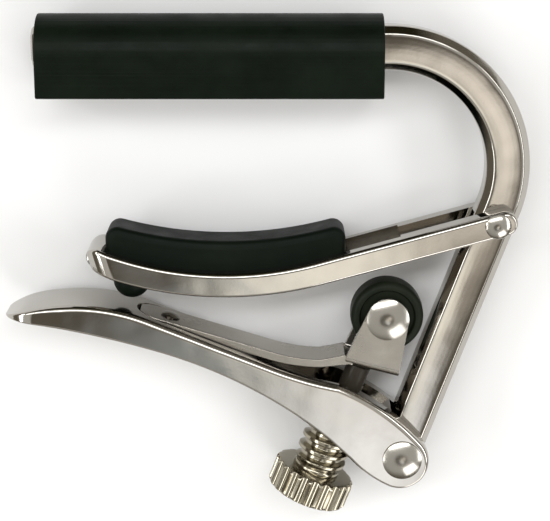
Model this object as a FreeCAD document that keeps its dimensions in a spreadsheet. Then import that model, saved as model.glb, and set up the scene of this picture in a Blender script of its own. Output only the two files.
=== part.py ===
"""Over-centre roller capo for a guitar, lying on its side.

Frame, in millimetres: the origin is the centre of the sleeve's flat string face, X runs along the
sleeve, -Y is the face's outward normal (towards the strings), and Z is parallel to every pivot.
The capo is symmetric about Z = 0.  It is drawn closed, with no guitar neck in it.
"""
import FreeCAD
import Part
import Sketcher

import math
import os

DIMS = {
    # bent bar: top run, bend and straight column
    "bar_width": 6.95, "bar_depth": 5.4, "bar_edge": 1.15,
    "bar_line": 7.45, "bar_end": 27.9, "bend_start": 28.0, "bend_radius": 19.15,
    "column_lean": 20.0, "arm_pivot_drop": 2.0, "pivot_spacing": 42.0,
    # rubber sleeve
    "sleeve_length": 54.0, "sleeve_width": 12.0, "sleeve_height": 12.6, "sleeve_edge": 0.5,
    # both forked links
    "link_depth": 12.0, "link_gap": 7.9, "fork_gap": 5.6, "running_gap": 0.05, "press_gap": 0.01,
    # neck arm
    "arm_height": 3.9, "arm_slope": 15.5, "arm_straight": 29.0, "arm_sag": 56.85,
    "arm_sweep": 36.7, "arm_tail": 1.25, "arm_floor": 1.5, "arm_slot": 15.2,
    "arm_round": 0.8, "nose_round": 3.8, "nose_wall": 0.6,
    # neck pad and toe bumper
    "pad_width": 7.6, "pad_reach": 19.2, "pad_top": 23.2, "pad_hollow": 64.0, "pad_corner": 1.9,
    "pad_round": 0.7, "bumper_radius": 3.0, "bumper_rim": 0.9, "bumper_height": 3.5,
    "bumper_angle": 15.0, "bumper_stem": 1.3,
    # lever
    "lever_end": 4.75, "end_back": 0.3, "end_drop": 0.35, "paddle_tip": 64.7, "paddle_round": 5.0,
    "channel_start": 43.4, "fork_start": 7.0, "slot_clearance": 0.65,
    # spring leaf and roller bracket, about the roller axle
    "axle_x": 28.35, "axle_y": 36.2, "leaf_width": 7.0, "leaf_gauge": 1.35, "ear_gauge": 1.0,
    "ear_outside": 7.5, "ear_radius": 3.45,
    # roller
    "roller_radius": 5.9, "roller_width": 5.3, "roller_shoulder": 1.1, "hub_radius": 2.6,
    "roller_recess": 0.55, "recess_radius": 4.3,
    # rivets: shank radius, head radius and head height
    "axle_shank": 1.5, "axle_head": 3.45, "axle_dome": 1.1,
    "low_shank": 2.0, "low_head": 3.2, "low_dome": 1.1,
    "arm_shank": 1.2, "arm_head": 2.05, "arm_dome": 0.8,
    "leaf_shank": 0.9, "leaf_head": 1.6, "leaf_dome": 0.45, "leaf_hole_gap": 0.1,
    "leaf_rivet_x": 38.3, "leaf_rivet_y": 21.75, "leaf_rivet_lean": 17.1, "leaf_grip": 2.7,
    # adjusting screw, measured from the knob's outer face
    "screw_lean": 21.0, "screw_x": 15.3, "screw_y": 67.7, "knob_radius": 6.85, "knob_height": 4.6,
    "knob_edge": 0.7, "flute_radius": 0.75, "flute_count": 22, "collar_radius": 3.9,
    "collar_height": 0.8, "thread_radius": 4.3, "thread_root": 3.4, "thread_pitch": 2.0,
    "thread_end": 16.6, "tip_radius": 2.0, "tip_end": 24.6, "tip_dome": 0.35,
    "tip_stem": 1.1, "tip_stem_length": 3.0,
}

doc = FreeCAD.newDocument("capo")
sheet = doc.addObject("Spreadsheet::Sheet", "dims")
for row, (alias, value) in enumerate(DIMS.items(), start=1):
    sheet.set(f"A{row}", alias)
    sheet.set(f"B{row}", str(value))
    sheet.setAlias(f"B{row}", alias)
doc.recompute()

NODES = []


def value(expression):
    """The number that an expression over the sheet's cells gives."""
    return float(sheet.evalExpression(str(expression)))


def new_body(name, x="0", y="0", turn="0", axis=(0, 0, 1)):
    """A body of its own, placed at x, y and turned about an axis through that point."""
    body = doc.addObject("PartDesign::Body", name)
    body.Label = name
    body.Placement = FreeCAD.Placement(
        FreeCAD.Vector(value(x), value(y), 0),
        FreeCAD.Rotation(FreeCAD.Vector(*axis), value(turn)),
    )
    body.setExpression("Placement.Base.x", str(x))
    body.setExpression("Placement.Base.y", str(y))
    NODES.append(body)
    return body


def bind(sketch, constraint, expression):
    index = sketch.addConstraint(constraint)
    sketch.setExpression(f"Constraints[{index}]", str(expression))


def new_sketch(body, name, role, lift="0"):
    """An empty sketch on one of the body's origin planes, lifted off it along its normal."""
    sketch = body.newObject("Sketcher::SketchObject", name)
    plane = next(f for f in body.Origin.OriginFeatures if f.Role == role)
    sketch.AttachmentSupport = [(plane, "")]
    sketch.MapMode = "FlatFace"
    sketch.AttachmentOffset = FreeCAD.Placement(FreeCAD.Vector(0, 0, value(lift)), FreeCAD.Rotation())
    return sketch


def add_outline(sketch, corners, bends=None):
    """A closed outline through the corners.  bends gives the radius of each edge that is an arc,
    by the edge's first corner: positive turns counter-clockwise, negative clockwise."""
    bends = bends or {}
    points = [FreeCAD.Vector(value(x), value(y), 0) for x, y in corners]
    count = len(points)
    ends = []
    for i, start in enumerate(points):
        stop = points[(i + 1) % count]
        if i not in bends:
            edge = sketch.addGeometry(Part.LineSegment(start, stop), False)
            ends.append((edge, 1, 2))
            continue
        radius = value(bends[i])
        first, last = (start, stop) if radius > 0 else (stop, start)
        chord = last - first
        across = FreeCAD.Vector(-chord.y, chord.x, 0).normalize()
        centre = (first + last) * 0.5 + across * math.sqrt(radius**2 - chord.Length**2 / 4)
        angles = [math.atan2((p - centre).y, (p - centre).x) for p in (first, last)]
        circle = Part.Circle(centre, FreeCAD.Vector(0, 0, 1), abs(radius))
        edge = sketch.addGeometry(Part.ArcOfCircle(circle, *angles), False)
        ends.append((edge, 1, 2) if radius > 0 else (edge, 2, 1))
    for i, (edge, _, stop) in enumerate(ends):
        following, start, _ = ends[(i + 1) % count]
        sketch.addConstraint(Sketcher.Constraint("Coincident", edge, stop, following, start))
    for i, (x, y) in enumerate(corners):
        edge, start, _ = ends[i]
        bind(sketch, Sketcher.Constraint("DistanceX", -1, 1, edge, start, value(x)), x)
        bind(sketch, Sketcher.Constraint("DistanceY", -1, 1, edge, start, value(y)), y)
    for i, radius in bends.items():
        edge = ends[i][0]
        bind(sketch, Sketcher.Constraint("Radius", edge, abs(value(radius))), f"abs({radius})")


def add_circle(sketch, x, y, radius):
    centre = FreeCAD.Vector(value(x), value(y), 0)
    circle = Part.Circle(centre, FreeCAD.Vector(0, 0, 1), value(radius))
    edge = sketch.addGeometry(circle, False)
    bind(sketch, Sketcher.Constraint("DistanceX", -1, 1, edge, 3, value(x)), x)
    bind(sketch, Sketcher.Constraint("DistanceY", -1, 1, edge, 3, value(y)), y)
    bind(sketch, Sketcher.Constraint("Radius", edge, value(radius)), radius)


def extrude(body, kind, sketch, length, both_ways=True, flip=False):
    """A Pad or a Pocket of the sketch, both ways from its plane or one way only."""
    feature = body.newObject(f"PartDesign::{kind}", f"{sketch.Name}_{kind.lower()}")
    feature.Profile = sketch
    feature.Midplane = both_ways
    feature.Reversed = flip
    feature.setExpression("Length", str(length))
    before = body.Shape.Volume if kind == "Pocket" else None
    doc.recompute()
    if before is not None and not feature.Shape.Volume < before - 1e-6:
        raise RuntimeError(f"{feature.Name} cuts nothing")
    return feature


def turn_solid(body, name, corners, bends=None):
    """A solid of revolution about the body's Z axis: corners are (radius, height)."""
    sketch = new_sketch(body, name, "XZ_Plane")
    add_outline(sketch, corners, bends)
    feature = body.newObject("PartDesign::Revolution", f"{name}_turned")
    feature.Profile = sketch
    feature.ReferenceAxis = (sketch, ["V_Axis"])
    feature.Angle = 360.0
    doc.recompute()
    return feature


def drill(body, name, radius, start, axis, depth):
    """A round hole from a start point along an axis, both given in the capo's frame."""
    hole = body.newObject("PartDesign::SubtractiveCylinder", name)
    hole.setExpression("Radius", radius)
    hole.setExpression("Height", depth)
    there = FreeCAD.Placement(start, FreeCAD.Rotation(FreeCAD.Vector(0, 0, 1), axis))
    hole.Placement = body.Placement.inverse().multiply(there)
    before = body.Shape.Volume
    doc.recompute()
    if not hole.Shape.Volume < before - 1e-6:
        raise RuntimeError(f"{name} cuts nothing")


def crown(radius, rise):
    """The radius of a dome that rises that much over a rim of that radius."""
    return f"((({radius})^2 + ({rise})^2) / (2 * ({rise})))"


def dress(body, kind, size, chosen):
    """A Fillet or Chamfer on the edges of the body's tip that the test picks."""
    base = body.Tip
    names = [f"Edge{i}" for i, e in enumerate(base.Shape.Edges, start=1) if chosen(e)]
    feature = body.newObject(f"PartDesign::{kind}", f"{body.Name}_{kind.lower()}_{len(body.Group)}")
    feature.Base = (base, names)
    feature.setExpression("Radius" if kind == "Fillet" else "Size", str(size))
    doc.recompute()
    return feature


def at_height(height):
    """Picks edges that lie wholly at +height or -height along Z."""
    wanted = value(height)

    def test(edge):
        box = edge.BoundBox
        flat = box.ZLength < 1e-4
        return flat and abs(abs(box.ZMax) - wanted) < 1e-4
    return test


# --- Places that several pieces share, as expressions over the sheet -------------------------

LEAN = "dims.column_lean * 1 deg"
SLOPE = "dims.arm_slope * 1 deg"
HALF_LINK = "dims.link_depth / 2"
HALF_GAP = "dims.link_gap / 2"


def on_column(distance):
    """The point of the column's centreline that far below the end of the bend."""
    x = f"(dims.bend_start + dims.bend_radius * cos({LEAN}) - ({distance}) * sin({LEAN}))"
    y = f"(dims.bar_line - dims.bend_radius * (1 + sin({LEAN})) - ({distance}) * cos({LEAN}))"
    return x, y


ARM_PIVOT = on_column("dims.arm_pivot_drop")
LEVER_PIVOT = on_column("dims.arm_pivot_drop + dims.pivot_spacing")
SAG_CENTRE = (
    f"({ARM_PIVOT[0]} - dims.arm_straight * cos({SLOPE}) - dims.arm_sag * sin({SLOPE}))",
    f"({ARM_PIVOT[1]} - dims.arm_straight * sin({SLOPE}) + dims.arm_sag * cos({SLOPE}))",
)


# --- The frame: bar and sleeve ----------------------------------------------------------------

def make_frame_bar():
    """One length of bar, bent through 90 degrees plus the column's lean, drilled for two rivets."""
    body = new_body("frame_bar")
    sketch = new_sketch(body, "bar_outline", "XY_Plane")
    half = "dims.bar_width / 2"
    centre_y = "(dims.bar_line - dims.bend_radius)"
    x_end, y_end = LEVER_PIVOT

    def bend_point(side, angle):
        radius = f"(dims.bend_radius {side} {half})"
        return (f"dims.bend_start + {radius} * sin({angle})", f"{centre_y} + {radius} * cos({angle})")

    def end_point(across, along):
        """A point beside the lower pivot: across the column to the outside, and down along it."""
        return (
            f"{x_end} + ({across}) * cos({LEAN}) - ({along}) * sin({LEAN})",
            f"{y_end} - ({across}) * sin({LEAN}) - ({along}) * cos({LEAN})",
        )

    turn_end = "(90 + dims.column_lean) * 1 deg"
    corners = [
        ("-dims.bar_end", f"dims.bar_line + {half}"),
        ("-dims.bar_end", f"dims.bar_line - {half}"),
        bend_point("-", "0 deg"),
        bend_point("-", turn_end),
        end_point(f"-{half}", "0"),
        end_point("0", half),
        end_point(half, "0"),
        bend_point("+", turn_end),
        bend_point("+", "0 deg"),
    ]
    inner, outer = f"-(dims.bend_radius - {half})", f"dims.bend_radius + {half}"
    add_outline(sketch, corners, {2: inner, 4: half, 5: half, 7: outer})
    add_circle(sketch, *ARM_PIVOT, "dims.arm_shank + dims.running_gap")
    add_circle(sketch, *LEVER_PIVOT, "dims.low_shank + dims.press_gap")
    extrude(body, "Pad", sketch, "dims.bar_depth")
    rims = at_height("dims.bar_depth / 2")
    holes = [value("dims.arm_shank + dims.running_gap"), value("dims.low_shank + dims.press_gap")]
    dress(body, "Chamfer", "dims.bar_edge", lambda e: rims(e) and not is_circle(e, holes))


def is_circle(edge, radii):
    """True for a whole circle of one of the radii."""
    curve = edge.Curve
    whole = isinstance(curve, Part.Circle) and edge.isClosed()
    return whole and any(abs(curve.Radius - r) < 1e-4 for r in radii)


def make_sleeve():
    """An extruded rubber sleeve, flat towards the strings and round on top, pushed on the bar."""
    body = new_body("fretboard_sleeve")
    sketch = new_sketch(body, "sleeve_section", "YZ_Plane")
    half = "dims.sleeve_width / 2"
    shoulder = f"dims.sleeve_height - {half}"
    edge = "dims.sleeve_edge"
    add_outline(sketch, [
        (edge, f"-{half}"), (shoulder, f"-{half}"), ("dims.sleeve_height", "0"), (shoulder, half),
        (edge, half), ("0", f"{half} - {edge}"), ("0", f"-{half} + {edge}"),
    ], {1: half, 2: half, 4: edge, 6: edge})
    bore_y, bore_z, cut = "dims.bar_width / 2", "dims.bar_depth / 2", "dims.bar_edge"
    low, high = f"dims.bar_line - {bore_y}", f"dims.bar_line + {bore_y}"
    add_outline(sketch, [
        (f"{low} + {cut}", f"-{bore_z}"), (f"{high} - {cut}", f"-{bore_z}"),
        (high, f"-{bore_z} + {cut}"), (high, f"{bore_z} - {cut}"),
        (f"{high} - {cut}", bore_z), (f"{low} + {cut}", bore_z),
        (low, f"{bore_z} - {cut}"), (low, f"-{bore_z} + {cut}"),
    ])
    extrude(body, "Pad", sketch, "dims.sleeve_length")


# --- The neck arm and what is fixed to it ------------------------------------------------------

def arm_point(radius, back=None):
    """A point of the sagging stretch, in the arm's own frame: its origin is the pivot and -X runs
    along the straight stretch.  back is the angle past the end of the straight stretch."""
    angle = back or "dims.arm_sweep * 1 deg"
    return f"-dims.arm_straight - ({radius}) * sin({angle})", f"dims.arm_sag - ({radius}) * cos({angle})"


def make_neck_arm():
    """A tray whose two walls run on past its floor as a fork around the bar."""
    body = new_body("neck_arm", *ARM_PIVOT, turn="dims.arm_slope")
    half = "dims.arm_height / 2"
    upper, lower = f"(dims.arm_sag - {half})", f"(dims.arm_sag + {half})"
    sweep = "dims.arm_sweep * 1 deg"
    side = new_sketch(body, "arm_side", "XY_Plane")
    nose = arm_point("dims.arm_sag")
    nose_tip = (f"{nose[0]} - {half} * cos({sweep})", f"{nose[1]} + {half} * sin({sweep})")
    add_outline(side, [
        ("dims.arm_tail", f"-{half}"), (f"dims.arm_tail + {half}", "0"), ("dims.arm_tail", half),
        ("-dims.arm_straight", half), arm_point(upper), nose_tip, arm_point(lower),
        ("-dims.arm_straight", f"-{half}"),
    ], {0: half, 1: half, 3: f"-{upper}", 4: half, 5: half, 6: lower})
    add_circle(side, "0", "0", "dims.arm_shank + dims.running_gap")
    extrude(body, "Pad", side, "dims.link_depth")
    hole = [value("dims.arm_shank + dims.running_gap")]
    rims = at_height(HALF_LINK)
    dress(body, "Fillet", "dims.arm_round", lambda e: rims(e) and not is_circle(e, hole))

    plan = new_sketch(body, "nose_plan", "XZ_Plane")
    front = f"{nose_tip[0]} - 1"
    inside = f"{nose_tip[0]} + dims.nose_round"
    for sign in ("", "-"):
        add_outline(plan, [
            (front, f"{sign}({HALF_LINK} + 1)"), (inside, f"{sign}({HALF_LINK} + 1)"),
            (inside, f"{sign}({HALF_LINK})"), (nose_tip[0], f"{sign}({HALF_LINK} - dims.nose_round)"),
            (front, f"{sign}({HALF_LINK} - dims.nose_round)"),
        ], {2: "-dims.nose_round" if sign else "dims.nose_round"})
    extrude(body, "Pocket", plan, "80")

    tray = new_sketch(body, "arm_tray", "XY_Plane")
    floor = f"({lower} - dims.arm_floor)"
    wall = f"({sweep} - dims.nose_wall / dims.arm_sag * 1 rad)"
    above = f"({upper} - 3)"
    add_outline(tray, [
        ("-dims.arm_slot", "6"), arm_point(above, "0 deg"), arm_point(above, wall),
        arm_point(floor, wall), ("-dims.arm_straight", f"-{half} + dims.arm_floor"),
        ("-dims.arm_slot", f"-{half} + dims.arm_floor"),
    ], {1: f"-{above}", 3: floor})
    extrude(body, "Pocket", tray, "dims.link_gap")

    fork = new_sketch(body, "arm_fork", "XY_Plane")
    add_outline(fork, [
        ("-dims.arm_slot", "6"), ("-dims.arm_slot", "-6"), ("dims.arm_tail + 4", "-6"),
        ("dims.arm_tail + 4", "6"),
    ])
    extrude(body, "Pocket", fork, "dims.fork_gap")
    drill(body, "bumper_hole", "dims.bumper_stem", bumper_seat(), -bumper_axis(), "dims.arm_floor + 1")


def bumper_axis():
    """The direction the bumper points in, square to the underside of the arm."""
    lean = math.radians(value("dims.bumper_angle"))
    return FreeCAD.Vector(-math.sin(lean), -math.cos(lean), 0)


def bumper_seat():
    """The middle of the bumper's seat on the arm's underside."""
    centre = FreeCAD.Vector(value(SAG_CENTRE[0]), value(SAG_CENTRE[1]), 0)
    return centre + bumper_axis() * value("dims.arm_sag + dims.arm_height / 2")


def make_neck_pad():
    """A moulded rubber pad, hollowed to the back of the neck, seated between the arm's walls."""
    body = new_body("neck_pad", *SAG_CENTRE)
    sketch = new_sketch(body, "pad_side", "XY_Plane")
    bed = "(dims.arm_sag + dims.arm_height / 2 - dims.arm_floor)"
    crest = f"(-dims.pad_top - {SAG_CENTRE[1]} + dims.pad_hollow)"
    low = f"-sqrt({bed}^2 - dims.pad_reach^2)"
    high = f"{crest} - sqrt(dims.pad_hollow^2 - dims.pad_reach^2)"
    add_outline(sketch, [
        ("-dims.pad_reach", low), ("dims.pad_reach", low),
        ("dims.pad_reach", high), ("-dims.pad_reach", high),
    ], {0: bed, 2: "-dims.pad_hollow"})
    extrude(body, "Pad", sketch, "dims.pad_width")
    top = value(high)

    def top_corner(edge):
        box = edge.BoundBox
        return box.ZLength > 1 and abs(box.YMax - top) < 1e-3
    dress(body, "Fillet", "dims.pad_corner", top_corner)
    bed_line = value(low)
    rims = at_height("dims.pad_width / 2")

    def upper_rim(edge):
        box = edge.BoundBox
        return rims(edge) and box.YMin > bed_line - 0.01 and box.YMax > bed_line + 0.01
    dress(body, "Fillet", "dims.pad_round", upper_rim)


def make_toe_bumper():
    """A rubber button plugged through the arm's floor, which lands on the lever."""
    lean = "dims.bumper_angle * 1 deg"
    under = "(dims.arm_sag + dims.arm_height / 2)"
    x, y = (f"{SAG_CENTRE[0]} - {under} * sin({lean})", f"{SAG_CENTRE[1]} - {under} * cos({lean})")
    body = new_body("toe_bumper", x, y)
    body.Placement.Rotation = FreeCAD.Rotation(FreeCAD.Vector(0, 0, 1), bumper_axis())
    rise = "(dims.bumper_height - dims.bumper_rim)"
    turn_solid(body, "bumper_section", [
        ("0", "-dims.arm_floor"), ("dims.bumper_stem", "-dims.arm_floor"), ("dims.bumper_stem", "0"),
        ("dims.bumper_radius", "0"), ("dims.bumper_radius", "dims.bumper_rim"),
        ("0", "dims.bumper_height"),
    ], {4: crown("dims.bumper_radius", rise)})


# --- The lever -----------------------------------------------------------------------------------

def make_clamp_lever():
    """A cast lever: solid paddle, channel for the spring leaf, threaded floor, fork for the bar.
    Its own frame has the pivot at the origin."""
    body = new_body("clamp_lever", *LEVER_PIVOT)
    end = "dims.lever_end"
    side = new_sketch(body, "lever_side", "XY_Plane")

    def end_point(angle):
        """A point of the rounded end, whose centre lies a little behind and below the pivot."""
        return (f"{end} * cos({angle}) - dims.end_back", f"{end} * sin({angle}) - dims.end_drop")
    add_outline(side, [
        end_point("40 deg"), ("-10.4", "12.6"), ("-21.0", "15.7"), ("-41.5", "24.0"),
        ("-64.5", "24.07"), ("-64.5", "23.8"), ("-41.0", "18.85"), ("-11.9", "3.35"),
        ("-8.4", "0.0"), end_point("-110 deg"), end_point("0 deg"),
    ], {0: "38", 1: "-60", 3: "31", 4: "0.2", 5: "-150", 6: "-78", 8: "19", 9: end, 10: end})
    add_circle(side, "0", "0", "dims.low_shank + dims.running_gap")
    extrude(body, "Pad", side, "dims.link_depth")

    plan = new_sketch(body, "paddle_plan", "XZ_Plane")
    shoulder = "dims.paddle_round - dims.paddle_tip"
    for sign in ("", "-"):
        add_outline(plan, [
            ("-67", f"{sign}({HALF_LINK} + 1)"), (shoulder, f"{sign}({HALF_LINK} + 1)"),
            (shoulder, f"{sign}({HALF_LINK})"),
            ("-dims.paddle_tip", f"{sign}({HALF_LINK} - dims.paddle_round)"),
            ("-67", f"{sign}({HALF_LINK} - dims.paddle_round)"),
        ], {2: "-dims.paddle_round" if sign else "dims.paddle_round"})
    extrude(body, "Pocket", plan, "80")

    channel = new_sketch(body, "leaf_channel", "XY_Plane")
    add_outline(channel, [
        ("-dims.channel_start", "28"), ("-dims.channel_start", "22.75"), ("-36.4", "20.6"),
        ("-35.6", "19.4"), ("-8.6", "7.3"), ("-dims.fork_start", "7.3"), ("-dims.fork_start", "28"),
    ])
    extrude(body, "Pocket", channel, "dims.link_gap")

    fork = new_sketch(body, "lever_fork", "XY_Plane")
    left = "(-dims.bar_width / 2 - dims.slot_clearance)"

    def beside_bar(along):
        """A point on the slot's end wall, which runs beside the closed bar."""
        return (f"{left} * cos({LEAN}) + ({along}) * sin({LEAN})",
                f"-{left} * sin({LEAN}) + ({along}) * cos({LEAN})")
    add_outline(fork, [
        ("-dims.fork_start - 0.5", "28"), ("-dims.fork_start - 0.5", "7.3"), beside_bar("6.5"),
        beside_bar("0"), (f"{left} * sin({LEAN})", f"{left} * cos({LEAN})"), ("0.5", "-8"),
        ("9", "-8"), ("9", "28"),
    ], {3: f"-{left}"})
    extrude(body, "Pocket", fork, "dims.fork_gap")

    drill(body, "screw_bore", "dims.thread_radius + dims.running_gap", screw_point(9.5), screw_axis(),
          "9.5")
    drill(body, "leaf_rivet_hole", "dims.leaf_shank", leaf_rivet_seat(), -leaf_rivet_axis(),
          "dims.leaf_grip")


def leaf_rivet_axis():
    """The direction the leaf's rivet points in, square to the channel's shelf."""
    lean = math.radians(value("dims.leaf_rivet_lean"))
    return FreeCAD.Vector(math.sin(lean), math.cos(lean), 0)


def leaf_rivet_seat():
    """Where the rivet's axis meets the shelf under the leaf."""
    return FreeCAD.Vector(value(f"{LEVER_PIVOT[0]} - dims.leaf_rivet_x"),
                          value(f"{LEVER_PIVOT[1]} + dims.leaf_rivet_y"), 0)


# --- Leaf spring, bracket and roller ---------------------------------------------------------------

def make_roller_bracket():
    """Spring strip folded up into two ears that carry the roller, in the axle's frame."""
    body = new_body("roller_bracket", "dims.axle_x", "-dims.axle_y")
    strip = new_sketch(body, "leaf_side", "XY_Plane")
    gauge = "dims.leaf_gauge"
    add_outline(strip, [
        ("-40.15", "1.0"), ("-40.55", f"1.0 - {gauge}"), ("-19.45", f"-5.5 - {gauge}"),
        ("-10.8", f"-6.9 - {gauge}"), ("-6.6", "-7.75"), ("1.75", "-9.95"),
        ("2.05", "-8.75"), ("-6.4", "-6.5"), ("-6.9", "-6.1"), ("-10.8", "-6.9"), ("-19.05", "-5.5"),
    ], {2: "30", 3: "14", 8: "-9", 9: "-28"})
    extrude(body, "Pad", strip, "dims.leaf_width")

    ears = new_sketch(body, "ear_side", "XY_Plane", lift="dims.ear_outside / 2 - dims.ear_gauge")
    radius = "dims.ear_radius"
    add_outline(ears, [
        ("-6.75", "-6.6"), ("-6.65", "-7.75"), ("1.75", "-9.95"), ("2.1", "-8.8"),
        (f"{radius} * cos(-10 deg)", f"{radius} * sin(-10 deg)"),
        (f"{radius} * cos(73 deg)", f"{radius} * sin(73 deg)"),
        (f"{radius} * cos(155.8 deg)", f"{radius} * sin(155.8 deg)"),
    ], {4: radius, 5: radius})
    extrude(body, "Pad", ears, "dims.ear_gauge", both_ways=False)
    other = body.newObject("PartDesign::Mirrored", "other_ear")
    other.Originals = [body.Tip]
    other.MirrorPlane = (next(f for f in body.Origin.OriginFeatures if f.Role == "XY_Plane"), [""])
    body.Tip = other
    doc.recompute()

    bore = new_sketch(body, "axle_bore", "XY_Plane")
    add_circle(bore, "0", "0", "dims.axle_shank")
    extrude(body, "Pocket", bore, "dims.ear_outside + 1")
    drill(body, "leaf_hole", "dims.leaf_shank + dims.leaf_hole_gap", leaf_rivet_seat() - leaf_rivet_axis(),
          leaf_rivet_axis(), "4")


def make_rivet(name, x, y, shank, head, dome, half_grip):
    """A domed rivet along Z: its shank spans the pieces it joins, with a head at each side."""
    body = new_body(name, x, y)
    rim = f"({half_grip} + 0.25 * ({dome}))"
    top = f"({half_grip} + {dome})"
    arc = crown(head, f"0.75 * ({dome})")
    turn_solid(body, f"{name}_section", [
        ("0", f"-{top}"), (head, f"-{rim}"), (head, f"-{half_grip}"), (shank, f"-{half_grip}"),
        (shank, half_grip), (head, half_grip), (head, rim), ("0", top),
    ], {0: arc, 6: arc})


def make_roller():
    """A rubber tyre bonded on a bush that runs on the axle."""
    half = "dims.roller_width / 2"
    bush = new_body("roller_hub", "dims.axle_x", "-dims.axle_y")
    inside = "dims.axle_shank + dims.running_gap"
    turn_solid(bush, "hub_section", [
        (inside, f"-{half}"), ("dims.hub_radius", f"-{half}"), ("dims.hub_radius", half), (inside, half),
    ])
    tyre = new_body("roller_tyre", "dims.axle_x", "-dims.axle_y")
    round_off, recess = "dims.roller_shoulder", "dims.roller_recess"
    low = f"({half} - {recess})"
    turn_solid(tyre, "tyre_section", [
        ("dims.hub_radius", f"-{low}"), ("dims.recess_radius", f"-{low}"),
        ("dims.recess_radius + 0.3", f"-{half}"), (f"dims.roller_radius - {round_off}", f"-{half}"),
        ("dims.roller_radius", f"-{half} + {round_off}"), ("dims.roller_radius", f"{half} - {round_off}"),
        (f"dims.roller_radius - {round_off}", half), ("dims.recess_radius + 0.3", half),
        ("dims.recess_radius", low), ("dims.hub_radius", low),
    ], {3: round_off, 5: round_off})


def make_leaf_rivet():
    """The small rivet that holds the leaf's end down on the lever's channel floor."""
    body = new_body("leaf_rivet", f"{LEVER_PIVOT[0]} - dims.leaf_rivet_x",
                    f"{LEVER_PIVOT[1]} + dims.leaf_rivet_y")
    body.Placement.Rotation = FreeCAD.Rotation(FreeCAD.Vector(0, 0, 1), leaf_rivet_axis())
    seat = "(dims.leaf_gauge + 0.05)"
    turn_solid(body, "leaf_rivet_section", [
        ("0", "-dims.leaf_grip"), ("dims.leaf_shank", "-dims.leaf_grip"), ("dims.leaf_shank", seat),
        ("dims.leaf_head", seat), ("0", f"{seat} + dims.leaf_dome"),
    ], {3: crown("dims.leaf_head", "dims.leaf_dome")})


# --- Adjusting screw --------------------------------------------------------------------------------

def screw_axis():
    """The screw's axis, from the knob towards the bracket."""
    lean = math.radians(value("dims.screw_lean"))
    return FreeCAD.Vector(math.sin(lean), math.cos(lean), 0)


def screw_point(distance):
    """The point of the screw's axis that far from the knob's outer face."""
    return FreeCAD.Vector(value("dims.screw_x"), -value("dims.screw_y"), 0) + screw_axis() * distance


def new_screw_body(name):
    body = new_body(name, "dims.screw_x", "-dims.screw_y")
    body.Placement.Rotation = FreeCAD.Rotation(FreeCAD.Vector(0, 0, 1), screw_axis())
    return body


def make_adjusting_screw():
    """The threaded stud, its thread drawn as rings one pitch apart, bored for the swivel tip."""
    body = new_screw_body("adjusting_screw")
    start = value("dims.knob_height + dims.collar_height")
    pitch = value("dims.thread_pitch")
    turns = int((value("dims.thread_end") - start) // pitch)
    corners = [("0", "0.6"), ("2.6", "0.6"), ("2.6", "dims.knob_height"),
               ("dims.collar_radius", "dims.knob_height"),
               ("dims.collar_radius", "dims.knob_height + dims.collar_height")]
    for ring in range(turns):
        base = f"dims.knob_height + dims.collar_height + {ring} * dims.thread_pitch"
        corners += [
            ("dims.thread_root", f"{base} + 0.05 * dims.thread_pitch"),
            ("dims.thread_root", f"{base} + 0.25 * dims.thread_pitch"),
            ("dims.thread_radius", f"{base} + 0.45 * dims.thread_pitch"),
            ("dims.thread_radius", f"{base} + 0.75 * dims.thread_pitch"),
            ("dims.thread_root", f"{base} + 0.95 * dims.thread_pitch"),
        ]
    mouth = "(dims.tip_stem + dims.running_gap)"
    depth = "(dims.tip_stem_length + dims.running_gap)"
    corners += [("dims.thread_root", "dims.thread_end"), (mouth, "dims.thread_end"),
                (mouth, f"dims.thread_end - {depth}"), ("0", f"dims.thread_end - {depth}")]
    turn_solid(body, "stud_section", corners)


def make_thumb_knob():
    """The knurled knob pressed on the stud's outer end."""
    body = new_screw_body("thumb_knob")
    edge = "dims.knob_edge"
    turn_solid(body, "knob_section", [
        ("0", "0"), (f"dims.knob_radius - {edge}", "0"), ("dims.knob_radius", edge),
        ("dims.knob_radius", f"dims.knob_height - {edge}"), (f"dims.knob_radius - {edge}", "dims.knob_height"),
        ("2.6", "dims.knob_height"), ("2.6", "0.6"), ("0", "0.6"),
    ])
    groove = new_sketch(body, "flute", "XY_Plane")
    add_circle(groove, "dims.knob_radius + 0.15", "0", "dims.flute_radius")
    cut = extrude(body, "Pocket", groove, "3 * dims.knob_height")
    ring = body.newObject("PartDesign::PolarPattern", "flutes")
    ring.Originals = [cut]
    ring.Axis = (next(f for f in body.Origin.OriginFeatures if f.Role == "Z_Axis"), [""])
    ring.Angle = 360.0
    ring.setExpression("Occurrences", "dims.flute_count")
    body.Tip = ring
    doc.recompute()


def make_screw_tip():
    """A plastic swivel tip: it pushes on the bracket while the stud turns on its stem."""
    body = new_screw_body("screw_tip")
    foot = "(dims.thread_end + dims.running_gap)"
    turn_solid(body, "tip_section", [
        ("0", f"{foot} - dims.tip_stem_length"), ("dims.tip_stem", f"{foot} - dims.tip_stem_length"),
        ("dims.tip_stem", foot), ("dims.tip_radius", foot),
        ("dims.tip_radius", "dims.tip_end - dims.tip_dome"), ("0", "dims.tip_end"),
    ], {4: crown("dims.tip_radius", "dims.tip_dome")})


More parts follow.
